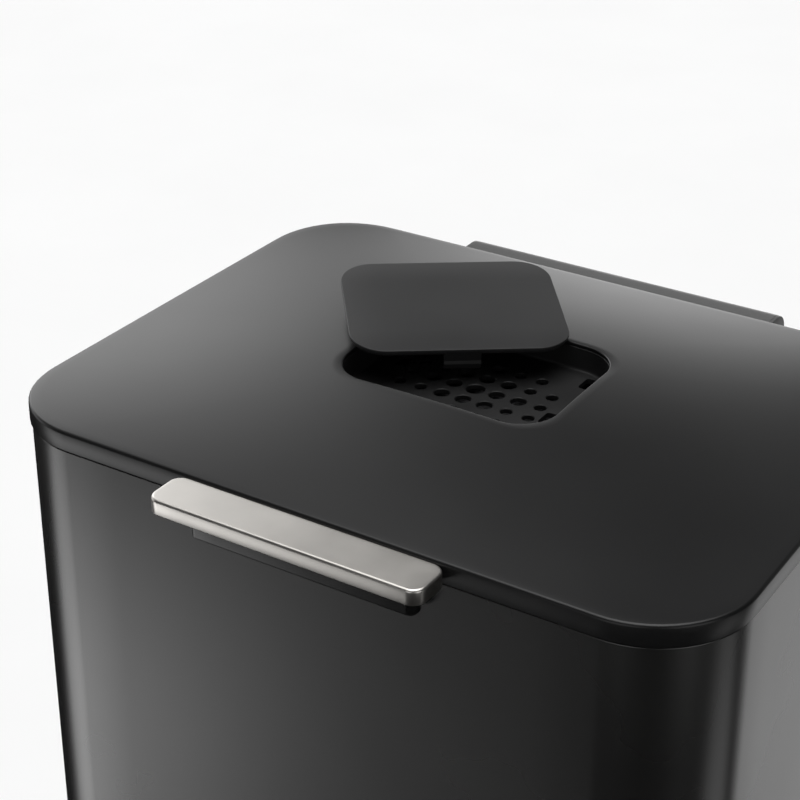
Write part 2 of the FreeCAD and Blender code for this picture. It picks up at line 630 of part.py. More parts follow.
def rail_screws():
    """Screws that hold the lid rails to the liner: heads under the rail flanges."""
    heads = []
    for side in SIDES:
        for end in SIDES:
            at = (f"{side}*(rail_layer + rail_flange - rail_screw_head - 1)", f"{end}*rail_screw_y")
            heads.append(rod(*at, "plug_bottom - rail_flange_thick - rail_screw_radius", "rail_screw_head",
                             "rail_screw_radius"))
    keep("rail_screws", group(heads))


casing()
base()
collar()
bucket()
hinge()
hinge_cover()
lid_shell()
lid_liner()
odour_filter()
filter_cover()
handle()
scissor()
press_plate()
rail_screws()
doc.recompute()

for item in doc.Objects:
    if {"Invalid", "Error"} & set(item.State):
        raise RuntimeError(f"{item.Name} ({item.Label}) is {item.State}")
os.makedirs("parts", exist_ok=True)
for name, item in nodes.items():
    shape = item.Shape
    if shape.isNull() or not shape.isValid():
        raise RuntimeError(f"{name} has no valid shape")
    shape.exportStep(f"parts/{name}.step")
    print(f"{name:22s} solids {len(shape.Solids):2d}  volume {shape.Volume / 1000:9.2f} cm3")
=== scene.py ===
import json
import math

import bmesh
import bpy
from mathutils import Matrix, Vector


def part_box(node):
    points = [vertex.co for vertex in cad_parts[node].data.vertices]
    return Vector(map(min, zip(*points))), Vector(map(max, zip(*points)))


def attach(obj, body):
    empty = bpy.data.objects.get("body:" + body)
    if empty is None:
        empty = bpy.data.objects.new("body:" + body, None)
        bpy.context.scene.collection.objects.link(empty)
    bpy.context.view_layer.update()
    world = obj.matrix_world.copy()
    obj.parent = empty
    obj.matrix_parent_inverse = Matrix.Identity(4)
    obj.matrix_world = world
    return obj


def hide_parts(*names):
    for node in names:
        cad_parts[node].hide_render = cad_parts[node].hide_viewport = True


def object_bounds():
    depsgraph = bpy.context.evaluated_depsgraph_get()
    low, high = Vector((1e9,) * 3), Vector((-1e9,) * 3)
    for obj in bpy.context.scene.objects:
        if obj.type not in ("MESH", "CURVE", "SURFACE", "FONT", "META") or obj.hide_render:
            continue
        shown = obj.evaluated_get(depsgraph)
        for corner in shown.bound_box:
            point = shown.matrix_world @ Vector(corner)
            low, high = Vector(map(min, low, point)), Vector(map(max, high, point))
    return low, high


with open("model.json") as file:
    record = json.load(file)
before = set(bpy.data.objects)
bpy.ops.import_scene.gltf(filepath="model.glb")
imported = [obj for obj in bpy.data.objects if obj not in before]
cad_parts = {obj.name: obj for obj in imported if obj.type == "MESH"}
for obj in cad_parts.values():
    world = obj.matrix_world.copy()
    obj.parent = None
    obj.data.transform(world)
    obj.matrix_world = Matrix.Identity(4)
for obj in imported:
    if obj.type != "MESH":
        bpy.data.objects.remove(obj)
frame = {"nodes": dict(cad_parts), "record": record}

CAD_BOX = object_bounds()
MM = 0.001
SIDES = (-1, 1)
CORNER_STEPS = 14            # points round each corner of an outline
SIDE_STEPS = 10              # points along each straight side of an outline
NOISE_RANGE = (0.3, 0.7)     # the noise values that a tint or a gloss is spread over


# ---------------------------------------------------------------- node helpers

def link(tree, source, target):
    tree.links.new(source, target)


def node(tree, kind, **values):
    """A shader node; keys are socket names, or node properties where no such socket exists."""
    made = tree.nodes.new(kind)
    for key, value in values.items():
        name = key.replace("_", " ")
        if name in made.inputs:
            made.inputs[name].default_value = value
        else:
            setattr(made, key, value)
    return made


def new_material(name):
    made = bpy.data.materials.new(name)
    made.use_nodes = True
    tree = made.node_tree
    return made, tree, tree.nodes["Principled BSDF"]


def noise(tree, scale, detail=3.0, stretch=(1, 1, 1)):
    """Noise in the object's own space, so it stays with the piece; stretch flattens it along an axis."""
    place = node(tree, "ShaderNodeTexCoord")
    mapping = node(tree, "ShaderNodeMapping", Scale=stretch)
    texture = node(tree, "ShaderNodeTexNoise", Scale=scale, Detail=detail, Roughness=0.55)
    link(tree, place.outputs["Object"], mapping.inputs["Vector"])
    link(tree, mapping.outputs["Vector"], texture.inputs["Vector"])
    return texture.outputs["Fac"]


def spread(tree, value, low, high):
    """Map a noise value to a range."""
    mapped = node(tree, "ShaderNodeMapRange")
    bounds = {"From Min": NOISE_RANGE[0], "From Max": NOISE_RANGE[1], "To Min": low, "To Max": high}
    for socket, number in bounds.items():
        mapped.inputs[socket].default_value = number
    link(tree, value, mapped.inputs["Value"])
    return mapped.outputs["Result"]


def tint(tree, value, dark, light):
    """Blend two colours by a noise value."""
    ramp = node(tree, "ShaderNodeValToRGB")
    for stop, position, colour in zip(ramp.color_ramp.elements, NOISE_RANGE, (dark, light)):
        stop.position = position
        stop.color = (*colour, 1)
    link(tree, value, ramp.inputs["Fac"])
    return ramp.outputs["Color"]


def surface(name, colour, roughness, grain, grain_depth, metallic=0.0, stretch=(1, 1, 1),
            shade=0.15, rough_shade=0.06, patch=14.0, specular=0.5, anisotropy=0.0):
    """A solid finish: broad patches vary its colour and gloss, and a fine grain makes its bump."""
    made, tree, shader = new_material(name)
    shader.inputs["Metallic"].default_value = metallic
    shader.inputs["Specular IOR Level"].default_value = specular
    shader.inputs["Anisotropic"].default_value = anisotropy
    broad = noise(tree, patch, 4.0)
    light = [min(1.0, channel * (1 + shade)) for channel in colour]
    dark = [channel * (1 - shade) for channel in colour]
    link(tree, tint(tree, broad, dark, light), shader.inputs["Base Color"])
    gloss = spread(tree, broad, roughness - rough_shade, roughness + rough_shade)
    link(tree, gloss, shader.inputs["Roughness"])
    fine = noise(tree, grain, 2.0, stretch)
    bump = node(tree, "ShaderNodeBump", Strength=1.0, Distance=grain_depth)
    link(tree, fine, bump.inputs["Height"])
    link(tree, bump.outputs["Normal"], shader.inputs["Normal"])
    return made


def felt(name, colour):
    """A matted charcoal pad: the same cells vary its colour and raise its granules."""
    made, tree, shader = new_material(name)
    place = node(tree, "ShaderNodeTexCoord")
    cells = node(tree, "ShaderNodeTexVoronoi", Scale=420.0)
    link(tree, place.outputs["Object"], cells.inputs["Vector"])
    light = [channel * 2.2 for channel in colour]
    link(tree, tint(tree, cells.outputs["Distance"], colour, light), shader.inputs["Base Color"])
    shader.inputs["Roughness"].default_value = 0.95
    shader.inputs["Sheen Weight"].default_value = 0.3
    bump = node(tree, "ShaderNodeBump", Strength=1.0, Distance=0.0006)
    link(tree, cells.outputs["Distance"], bump.inputs["Height"])
    link(tree, bump.outputs["Normal"], shader.inputs["Normal"])
    return made


FINISHES = {
    "casing_steel": surface("casing_steel", (0.006, 0.0058, 0.0055), 0.27, grain=900, grain_depth=0.00001,
                            stretch=(1, 1, 0.08), specular=0.95, patch=5, rough_shade=0.02),
    "lid_skin": surface("lid_skin", (0.006, 0.006, 0.0062), 0.33, grain=1500, grain_depth=0.000015,
                        patch=6, rough_shade=0.02, specular=0.38),
    "cover_plastic": surface("cover_plastic", (0.014, 0.014, 0.0144), 0.44, grain=1600, grain_depth=0.00002,
                             rough_shade=0.03, specular=0.36),
    "well_plastic": surface("well_plastic", (0.008, 0.008, 0.0082), 0.5, grain=1400, grain_depth=0.00002,
                            specular=0.4),
    "liner_plastic": surface("liner_plastic", (0.03, 0.03, 0.031), 0.5, grain=900, grain_depth=0.00004),
    "base_plastic": surface("base_plastic", (0.022, 0.022, 0.023), 0.5, grain=900, grain_depth=0.00004),
    "bucket_plastic": surface("bucket_plastic", (0.14, 0.145, 0.15), 0.45, grain=900, grain_depth=0.00004),
    "hinge_plastic": surface("hinge_plastic", (0.05, 0.05, 0.05), 0.45, grain=1500, grain_depth=0.00002),
    "satin_nickel": surface("satin_nickel", (0.58, 0.56, 0.53), 0.34, metallic=1.0, grain=2500,
                            grain_depth=0.00001, shade=0.04, rough_shade=0.03, patch=40),
    "gloss_black": surface("gloss_black", (0.004, 0.004, 0.004), 0.14, grain=400, grain_depth=0.00001,
                           specular=0.25),
    "bright_steel": surface("bright_steel", (0.6, 0.6, 0.61), 0.25, metallic=1.0, grain=700,
                            grain_depth=0.000004, stretch=(0.05, 1, 1), shade=0.08, patch=60),
    "dark_steel": surface("dark_steel", (0.03, 0.03, 0.033), 0.42, metallic=0.4, grain=800,
                          grain_depth=0.00003),
    "arm_steel": surface("arm_steel", (0.46, 0.46, 0.47), 0.32, metallic=1.0, grain=900,
                         grain_depth=0.000006, stretch=(1, 0.06, 1), shade=0.14, patch=45, rough_shade=0.09),
    "rail_steel": surface("rail_steel", (0.42, 0.42, 0.43), 0.34, metallic=1.0, grain=900,
                          grain_depth=0.000006, stretch=(1, 0.06, 1), shade=0.14, patch=45, rough_shade=0.09),
    "plate_steel": surface("plate_steel", (0.52, 0.52, 0.53), 0.3, metallic=1.0, grain=1100,
                           grain_depth=0.00002, stretch=(0.04, 1, 1), shade=0.08, patch=25, anisotropy=0.4),
    "pad_plastic": surface("pad_plastic", (0.06, 0.06, 0.062), 0.55, grain=700, grain_depth=0.00005),
    "nylon": surface("nylon", (0.7, 0.69, 0.65), 0.4, grain=900, grain_depth=0.00002, shade=0.04),
    "seal_rubber": surface("seal_rubber", (0.02, 0.02, 0.02), 0.75, grain=600, grain_depth=0.00005),
    "foot_rubber": surface("foot_rubber", (0.018, 0.018, 0.018), 0.8, grain=500, grain_depth=0.00008),
    "charcoal_pad": felt("charcoal_pad", (0.012, 0.012, 0.013)),
}
SLOTS = {part["node"]: part["material_slot"] for part in frame["record"]["subparts"]}
BODIES = {member: body for body, group in frame["record"]["behaviour"]["bodies"].items() for member in group}


# ---------------------------------------------------------------- mesh helpers

def finish(mesh_object, *nodes, smooth=32, keep_flats=False):
    """Shade a piece, give it its finish, ride it on its body and let it stand for its CAD nodes."""
    mesh = mesh_object.data
    if not keep_flats:
        mesh.polygons.foreach_set("use_smooth", [True] * len(mesh.polygons))
    mesh.set_sharp_from_angle(angle=math.radians(smooth))
    slot = SLOTS[nodes[0]]
    mesh.materials.clear()
    mesh.materials.append(FINISHES[slot])
    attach(mesh_object, BODIES[nodes[0]])
    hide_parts(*nodes)
    return mesh_object


def to_object(name, builder):
    """Turn a bmesh into an object in the scene, with its faces looking outwards."""
    bmesh.ops.recalc_face_normals(builder, faces=builder.faces)
    mesh = bpy.data.meshes.new(name)
    builder.to_mesh(mesh)
    builder.free()
    made = bpy.data.objects.new(name, mesh)
    bpy.context.scene.collection.objects.link(made)
    return made


def outline(half_x, half_y, radius):
    """Points round a rounded rectangle, the same number for any size, so that outlines can be joined."""
    corners = []
    for side_x, side_y, start in ((1, -1, -90), (1, 1, 0), (-1, 1, 90), (-1, -1, 180)):
        centre = Vector((side_x * (half_x - radius), side_y * (half_y - radius)))
        angles = [math.radians(start + 90 * step / CORNER_STEPS) for step in range(CORNER_STEPS + 1)]
        corners.append([centre + radius * Vector((math.cos(angle), math.sin(angle))) for angle in angles])
    points = []
    for corner, following in zip(corners, corners[1:] + corners[:1]):
        straight = [corner[-1].lerp(following[0], step / SIDE_STEPS) for step in range(1, SIDE_STEPS)]
        points += corner + straight
    return points


NEARLY_STRAIGHT = math.radians(172)
LONGEST_CUT = 0.45           # the share of a side that rounding its corner may take


def soften(points, radius, closed=False, steps=4):
    """Round the corners of a section with smooth curves that start where arcs of one radius would."""
    rounded = []
    count = len(points)
    for index, point in enumerate(points):
        here = Vector(point)
        if not closed and index in (0, count - 1):
            rounded.append(here)
            continue
        before, after = Vector(points[index - 1]), Vector(points[(index + 1) % count])
        to_before, to_after = before - here, after - here
        turn = to_before.angle(to_after)
        if turn > NEARLY_STRAIGHT:
            rounded.append(here)
            continue
        longest = LONGEST_CUT * min(to_before.length, to_after.length)
        reach = min(radius / math.tan(turn / 2), longest)
        start, end = here + to_before.normalized() * reach, here + to_after.normalized() * reach
        for step in range(steps + 1):
            share = step / steps
            rounded.append((1 - share) ** 2 * start + 2 * share * (1 - share) * here + share ** 2 * end)
    return rounded


def loft(name, rings, closed=False):
    """Skin a row of rings. A closed row joins its last ring to its first, and an open one is capped."""
    builder = bmesh.new()
    rows = [[builder.verts.new(point) for point in ring] for ring in rings]
    pairs = list(zip(rows, rows[1:])) + ([(rows[-1], rows[0])] if closed else [])
    for low, high in pairs:
        for index in range(len(low)):
            after = (index + 1) % len(low)
            builder.faces.new((low[index], low[after], high[after], high[index]))
    if not closed:
        builder.faces.new(list(reversed(rows[0])))
        builder.faces.new(rows[-1])
    return to_object(name, builder)


SMALLEST_CORNER = 0.2 * MM


def rounded_solid(name, half, section, closed=False, centre=(0.0, 0.0)):
    """Sweep a section of (inset, height) points round a rounded rectangle given as (x, y, radius)."""
    half_x, half_y, radius = half
    rings = []
    for inset, height in section:
        ring = outline(half_x - inset, half_y - inset, max(radius - inset, SMALLEST_CORNER))
        rings.append([Vector((*(point + Vector(centre)), height)) for point in ring])
    return loft(name, rings, closed)


def extrusion(name, section, start, end):
    """A section of (y, z) points drawn along X, capped at both ends."""
    rings = [[Vector((x, y, z)) for y, z in section] for x in (start, end)]
    return loft(name, rings)


def combine(target, tools, operation="DIFFERENCE"):
    """Cut tools away from a piece, or join them to it, and remove them."""
    for tool in tools:
        step = target.modifiers.new("combine", "BOOLEAN")
        step.operation = operation
        step.solver = "EXACT"
        step.object = tool
    bpy.context.view_layer.update()
    shape = bpy.data.meshes.new_from_object(target.evaluated_get(bpy.context.evaluated_depsgraph_get()))
    target.modifiers.clear()
    target.data = shape
    for tool in tools:
        bpy.data.objects.remove(tool)
    return target


def middle(low, high):
    return (low + high) / 2


def block(name, low, high, radius=0.0):
    """A block with rounded vertical corners."""
    half = ((high[0] - low[0]) / 2, (high[1] - low[1]) / 2, radius)
    centre = (middle(low[0], high[0]), middle(low[1], high[1]))
    return rounded_solid(name, half, [(0, low[2]), (0, high[2])], centre=centre)


def cross_recess(low, high, axis):
    """Two crossed bars for a driver, sunk into a screw head's outer face."""
    reach, half, depth = 2.3 * MM, 0.45 * MM, 1.0 * MM
    centre = middle(low, high)
    bars = []
    for along, across in ((reach, half), (half, reach)):
        if axis == "Y":
            near = Vector((centre.x - along, high.y - depth, centre.z - across))
            far = Vector((centre.x + along, high.y + MM, centre.z + across))
        else:
            near = Vector((centre.x - along, centre.y - across, low.z - MM))
            far = Vector((centre.x + along, centre.y + across, low.z + depth))
        bars.append(block("driver", near, far))
    return bars


def separate_solids(mesh):
    """The low and high corners of each separate solid in a mesh."""
    builder = bmesh.new()
    builder.from_mesh(mesh)
    seen, boxes = set(), []
    for first in builder.verts:
        if first in seen:
            continue
        seen.add(first)
        island = [first]
        for vertex in island:
            for edge in vertex.link_edges:
                other = edge.other_vert(vertex)
                if other not in seen:
                    seen.add(other)
                    island.append(other)
        low = Vector([min(vertex.co[axis] for vertex in island) for axis in range(3)])
        high = Vector([max(vertex.co[axis] for vertex in island) for axis in range(3)])
        boxes.append((low, high))
    builder.free()
    return boxes


def driven_screws(name, cad_node, axis):
    """Screws with a cross recess in each head; axis is the one that their heads face along."""
    piece = eased_copy(name, cad_node)
    tools = []
    for low, high in separate_solids(piece.data):
        tools += cross_recess(low, high, axis)
    combine(piece, tools)


SMOOTH_FACE_CORNERS = 6      # a face with more corners than this is a flat one with a shaped outline
SAME_POINT = 0.002 * MM
SAME_PLANE = math.radians(0.6)


def eased_copy(name, cad_node, width=0.35 * MM, segments=2, angle=28):
    """The CAD shape with its sharp edges broken, as pressed, moulded and turned pieces have them."""
    builder = bmesh.new()
    builder.from_mesh(frame["nodes"][cad_node].data)
    bmesh.ops.remove_doubles(builder, verts=builder.verts, dist=SAME_POINT)
    bmesh.ops.dissolve_limit(builder, angle_limit=SAME_PLANE, verts=builder.verts, edges=builder.edges)
    sharp = [edge for edge in builder.edges
             if len(edge.link_faces) == 2 and edge.calc_face_angle(0.0) > math.radians(angle)]
    sharp_set = set(sharp)
    for face in builder.faces:
        shaped = len(face.verts) > SMOOTH_FACE_CORNERS
        face.smooth = not shaped and not sharp_set.issuperset(face.edges)
    eased = bmesh.ops.bevel(builder, geom=sharp, offset=width, segments=segments, affect="EDGES",
                            profile=0.5, clamp_overlap=True)
    for face in eased["faces"]:
        face.smooth = True
    piece = to_object(name, builder)
    return finish(piece, cad_node, keep_flats=True)


# ---------------------------------------------------------------- driving sizes

CASE_LOW, CASE_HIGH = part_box("casing")
CASE_HALF = (CASE_HIGH.x, CASE_HIGH.y, 47 * MM)    # half width, half depth and corner radius
LID_LOW, LID_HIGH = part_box("lid_shell")
LID_HALF = (LID_HIGH.x, LID_HIGH.y, 48 * MM)
LID_EDGE = 650 * MM                           # height of the crown's edge
LID_WALL = 2 * MM
SKIRT_BOTTOM = LID_LOW.z
CROWN = 14 * MM                               # rise of the crown above its edge
OPENING = (57 * MM, 43.7 * MM, 20.5 * MM)     # half width, half depth and corner radius
WELL_FLOOR_TOP = 648 * MM
WELL_FLOOR = 2.5 * MM


def crown_height(x, y):
    """Height of the lid's crowned top above the lid's edge."""
    return CROWN * (1 - (x / LID_HALF[0]) ** 2) * (1 - (y / LID_HALF[1]) ** 2)


# ---------------------------------------------------------------- lid

def grown(size, grow):
    """An outline of a (half width, half depth, corner radius) size, grown outwards by a distance."""
    return outline(*(value + grow for value in size))


def over_crown(points, offset=0.0):
    """Points set at the height of the lid's crown, plus an offset."""
    return [Vector((*point, LID_EDGE + crown_height(*point) + offset)) for point in points]


def at_height(points, height):
    return [Vector((*point, height)) for point in points]


def lid_sheet(near, far, offset, rows=30):
    """Rings over the crown from one outline to another."""
    rings = []
    for row in range(rows + 1):
        share = row / rows
        rings.append(over_crown([a.lerp(b, share) for a, b in zip(near, far)], offset))
    return rings


def hinge_notches():
    """Tools for the two notches in the rear skirt that the hinge leaves pass through."""
    near, far = 57.5 * MM, 79.5 * MM
    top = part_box("hinge_leaf_lid")[1].z + MM
    notches = []
    for side in SIDES:
        left, right = sorted((side * near, side * far))
        low = (left, LID_HALF[1] - 2 * LID_WALL, SKIRT_BOTTOM - MM)
        notches.append(block("notch", low, (right, LID_HALF[1] + LID_WALL, top)))
    return notches


def lid():
    """Crowned sheet from the filter opening to a rounded rim, a short skirt, and a parallel underside."""
    rim, lip, edge = 1.5 * MM, 0.6 * MM, 0.4 * MM
    rim_steps = 6
    hole = grown(OPENING, lip)
    rings = lid_sheet(hole, grown(LID_HALF, -rim), 0)
    for step in range(1, rim_steps + 1):
        angle = math.radians(90 * step / rim_steps)
        inset, fall = rim * (1 - math.sin(angle)), rim * (1 - math.cos(angle))
        rings.append(over_crown(grown(LID_HALF, -inset), -fall))
    skirt = ((0, SKIRT_BOTTOM + edge), (0.3 * edge, SKIRT_BOTTOM + 0.3 * edge), (edge, SKIRT_BOTTOM),
             (LID_WALL - edge, SKIRT_BOTTOM), (LID_WALL, SKIRT_BOTTOM + edge))
    for inset, height in skirt:
        rings.append(at_height(grown(LID_HALF, -inset), height))
    rings += lid_sheet(grown(LID_HALF, -LID_WALL), hole, -LID_WALL)
    eased_hole = ((0.15 * MM, 0.1 * MM - LID_WALL), (0, lip - LID_WALL), (0, -lip),
                  (0.08 * MM, -0.3 * MM), (0.3 * MM, -0.08 * MM))
    for grow, offset in eased_hole:
        rings.append(over_crown(grown(OPENING, grow), offset))
    shell = loft("lid_top", rings, closed=True)
    finish(combine(shell, hinge_notches()), "lid_shell", smooth=40)


HOLE_PITCH = 11.8 * MM
HOLE_REACH = 3.2             # holes further than this many pitches from the middle are left out
LARGE_REACH = 2.1            # holes nearer than this many pitches are the larger ones
HOLE_RADII = {"middle": 4.7 * MM, "large": 3.9 * MM, "small": 3.0 * MM}
SLOT_HALF = (4.2 * MM, 5.5 * MM)
SLOT_CENTRES = ((44.7 * MM, 33 * MM), (44.7 * MM, -7.5 * MM))


def well_holes():
    """Tools for the well floor's grid of round holes."""
    tools = []
    for column in range(-3, 4):
        for line in range(-2, 3):
            distance = math.hypot(column, line)
            if distance > HOLE_REACH:
                continue
            size = "middle" if distance == 0 else "large" if distance < LARGE_REACH else "small"
            tools.append(hole_tool(column * HOLE_PITCH, line * HOLE_PITCH, HOLE_RADII[size]))
    return tools


def well_slots():
    """Tools for the outlet slots, two on each side, turned half round from each other."""
    low_z, high_z = WELL_FLOOR_TOP - WELL_FLOOR - MM, WELL_FLOOR_TOP + MM
    tools = []
    for turn in SIDES:
        for x, y in SLOT_CENTRES:
            low = (turn * x - SLOT_HALF[0], turn * y - SLOT_HALF[1], low_z)
            high = (turn * x + SLOT_HALF[0], turn * y + SLOT_HALF[1], high_z)
            tools.append(block("slot", low, high, 2 * MM))
    return tools


def filter_well():
    """Well under the opening: a flange under the lid, walls, and a floor with holes and outlet slots."""
    wall, flange, top_gap = 2 * MM, 8 * MM, LID_WALL + 0.02 * MM
    ease, corner, curve, curve_steps = 0.3 * MM, 0.8 * MM, 1.6 * MM, 5
    floor_low = WELL_FLOOR_TOP - WELL_FLOOR
    rings = [at_height(grown(OPENING, wall - corner), floor_low)]
    rings.append(at_height(grown(OPENING, wall), floor_low + corner))
    # the flange's underside, rim and top, as (growth, distance below the lid's top)
    for grow, drop in ((wall, top_gap + wall), (flange - ease, top_gap + wall), (flange, top_gap + wall / 2),
                       (flange - ease, top_gap), (ease, top_gap), (0, top_gap + ease)):
        rings.append(over_crown(grown(OPENING, grow), -drop))
    for step in range(curve_steps + 1):
        angle = math.radians(90 * step / curve_steps)
        inset, rise = curve * (1 - math.cos(angle)), curve * (1 - math.sin(angle))
        rings.append(at_height(grown(OPENING, -inset), WELL_FLOOR_TOP + rise))
    well = loft("filter_well_moulding", rings)
    finish(combine(well, well_holes() + well_slots()), "filter_well", smooth=40)


def hole_tool(x, y, radius):
    """A round cutter that flares a little at the floor's top, so that the hole has an eased edge."""
    flare, steps, clear = 0.35 * MM, 40, 0.001 * MM
    turns = [2 * math.pi * step / steps for step in range(steps)]
    section = ((radius, WELL_FLOOR_TOP - 2 * WELL_FLOOR), (radius, WELL_FLOOR_TOP - flare),
               (radius + flare, WELL_FLOOR_TOP + clear), (radius + flare, WELL_FLOOR_TOP + MM))
    rings = []
    for reach, z in section:
        rings.append([Vector((x + reach * math.cos(turn), y + reach * math.sin(turn), z)) for turn in turns])
    return loft("hole", rings)


COVER_HALF = (54 * MM, 44 * MM, 18 * MM)      # half width, half depth and corner radius
COVER_PLACE = (-33.7, 34.6, 670.6)            # mm
COVER_TURN = 38.2                             # degrees about Z
COVER_LEAN = (4.3, 1.6)                       # degrees about X and Y


def snap_tab(side):
    """A tab below the cover's edge, with a barb that faces outwards."""
    half_width, half_thick = 9 * MM, 1.25 * MM
    at = side * (COVER_HALF[1] - 3 * MM - half_thick)
    top, neck, barb, foot = -1.5 * MM, -8 * MM, -9.6 * MM, -12.6 * MM
    profile = [(at - side * half_thick, top), (at + side * half_thick, top), (at + side * half_thick, neck),
               (at + side * 1.9 * MM, barb), (at + side * 1.1 * MM, foot), (at - side * half_thick, foot)]
    return extrusion("tab", soften(profile, 0.4 * MM, closed=True), -half_width, half_width)


def cover_rib(x):
    half_thick, half_length = 0.6 * MM, 41 * MM
    return block("rib", (x - half_thick, -half_length, -2.8 * MM), (x + half_thick, half_length, -1.5 * MM))


def filter_cover():
    """Lift-off cover: a plate with an eased edge and a shallow reveal, ribs below, and two snap tabs."""
    thick, sheet, reveal, border, covered = 3 * MM, 1.7 * MM, 0.7 * MM, 2.6 * MM, 20 * MM
    section = soften([(covered, 0), (0, 0), (0, -sheet), (reveal, -sheet - 0.2 * MM), (reveal, -thick),
                      (border, -thick), (border, -sheet), (covered, -sheet)], 0.5 * MM)
    plate = rounded_solid("filter_cover_plate", COVER_HALF, section)
    tabs = [snap_tab(side) for side in SIDES]
    ribs = [cover_rib(x) for x in (-27 * MM, 0, 27 * MM)]
    combine(plate, tabs + ribs, "UNION")
    turn = Matrix.Rotation(math.radians(COVER_TURN), 4, "Z")
    lean_x, lean_y = (math.radians(lean) for lean in COVER_LEAN)
    lean = Matrix.Rotation(lean_x, 4, "X") @ Matrix.Rotation(lean_y, 4, "Y")
    plate.data.transform(Matrix.Translation(Vector(COVER_PLACE) * MM) @ turn @ lean)
    finish(plate, "filter_cover")


# ---------------------------------------------------------------- handle and hinge cover

def box_outline(cad_node, corner):
    """The low and high corners of a CAD node, its half sizes with a corner radius, and its centre."""
    low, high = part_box(cad_node)
    half = ((high.x - low.x) / 2, (high.y - low.y) / 2, corner)
    return low, high, half, (middle(low.x, high.x), middle(low.y, high.y))


def handle():
    """Metal pull bar with a filleted upper rim, and the black block below it."""
    low, high, half, centre = box_outline("handle_bar", 6.5 * MM)
    fillet, foot, covered, fillet_steps = 1.4 * MM, 0.5 * MM, 9 * MM, 12
    section = [(covered, high.z), (fillet + 0.8 * MM, high.z)]
    for step in range(fillet_steps + 1):
        angle = math.radians(90 * step / fillet_steps)
        section.append((fillet * (1 - math.sin(angle)), high.z - fillet * (1 - math.cos(angle))))
    section += [(0, low.z + foot), (0.3 * foot, low.z + 0.3 * foot), (foot, low.z), (covered, low.z)]
    finish(rounded_solid("pull_bar", half, section, centre=centre), "handle_bar")

    low, high, half, centre = box_outline("handle_block", 4 * MM)
    covered = 3 * MM
    section = soften([(covered, high.z), (0, high.z), (0, low.z), (covered, low.z)], 0.9 * MM)
    finish(rounded_solid("pull_bar_block", half, section, centre=centre), "handle_block")


def arc(centre, radius, start, end, steps=16):
    """Points on an arc in the (y, z) plane, in degrees from +Y towards +Z."""
    made = []
    for step in range(steps + 1):
        angle = math.radians(start + (end - start) * step / steps)
        made.append((centre[0] + radius * math.cos(angle), centre[1] + radius * math.sin(angle)))
    return made


def cap_solid(section, centre, side, start):
    """An end cap: the bar's section drawn out by the cap's thickness, with its outer edge rounded over."""
    ease, thick, steps = 0.6 * MM, 2 * MM, 4
    angles = [math.radians(90 * step / steps) for step in range(steps + 1)]
    layers = [(0, 0)]
    layers += [(ease * (1 - math.cos(angle)), thick - ease + ease * math.sin(angle)) for angle in angles]
    rings = []
    for inset, reach in layers:
        ring = []
        for point in section:
            inward = (Vector(centre) - Vector(point)).normalized() * inset
            ring.append(Vector((side * (start + reach), point[0] + inward.x, point[1] + inward.y)))
        rings.append(ring)
    return loft("cap", rings)


def join(name, objects):
    """Put several meshes in one object, as separate solids."""
    builder = bmesh.new()
    for item in objects:
        builder.from_mesh(item.data)
        bpy.data.objects.remove(item)
    return to_object(name, builder)


def hinge_cover():
    """Long bar behind the lid: flat on top, round at the back, open below, with a rounded cap at each end."""
    low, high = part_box("hinge_cover")
    radius, wall, cap_inset = 10.4 * MM, 2 * MM, 0.1 * MM
    lip_drop = 4.4 * MM      # how far the rounded back runs on below its centre
    centre = (high.y - radius, high.z - radius)
    front = LID_HALF[1]

    def lip(reach):
        """The angle at which an arc of some radius meets the lip's lower edge."""
        return -math.degrees(math.asin(lip_drop / reach))

    section = [(front, high.z - wall), (front, high.z)] + arc(centre, radius, 90, lip(radius))
    section += arc(centre, radius - wall, lip(radius - wall), 90)
    finish(extrusion("hinge_bar", section, low.x, high.x), "hinge_cover")

    rim = radius - cap_inset
    section = [(front, SKIRT_BOTTOM), (front, high.z - cap_inset)] + arc(centre, rim, 90, lip(rim))
    section += [(centre[0], centre[1] - lip_drop), (centre[0], SKIRT_BOTTOM)]
    cap_centre = (middle(front, high.y), middle(SKIRT_BOTTOM, high.z))
    caps = [cap_solid(section, cap_centre, side, high.x) for side in SIDES]
    finish(join("hinge_bar_caps", caps), "hinge_cover_caps")


# ---------------------------------------------------------------- cabinet

def casing():
    """Steel sleeve with rounded top and bottom edges."""
    low, high, steel = CASE_LOW.z, CASE_HIGH.z, 1.2 * MM
    section = soften([(0, low), (0, high), (steel, high), (steel, low)], 0.55 * MM, closed=True)
    finish(rounded_solid("casing_sleeve", CASE_HALF, section, closed=True), "casing")


def bucket():
    """Lift-out bucket with a slight draught, a rolled rim and two beads below it."""
    low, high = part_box("bucket")
    wall, rim, rim_height, covered = 2.5 * MM, 14.5 * MM, 6 * MM, 30 * MM
    foot_inset = 26 * MM     # how far the bucket's foot stands inside the casing's outline
    bead_drop, bead_gap, bead_half, bead_rise = 40 * MM, 14 * MM, 3 * MM, 1.2 * MM
    draught = math.tan(math.radians(0.6))

    def side(z):
        """Inset of the bucket's outer wall at a height."""
        return foot_inset - (z - low.z) * draught

    section = [(side(low.z) + covered, low.z), (side(low.z), low.z)]
    for level in (high.z - bead_drop - bead_gap, high.z - bead_drop):
        inset = side(level)
        section += [(inset, level - bead_half), (inset - bead_rise, level), (inset, level + bead_half)]
    rim_low, floor_high = high.z - rim_height, low.z + wall
    section += [(side(rim_low), rim_low), (rim, rim_low), (rim, high.z), (side(high.z) + wall, high.z),
                (side(floor_high) + wall, floor_high), (side(low.z) + covered, floor_high)]
    finish(rounded_solid("waste_bucket", CASE_HALF, soften(section, 1.2 * MM)), "bucket")


casing()
bucket()
lid()
filter_well()
filter_cover()
handle()
hinge_cover()

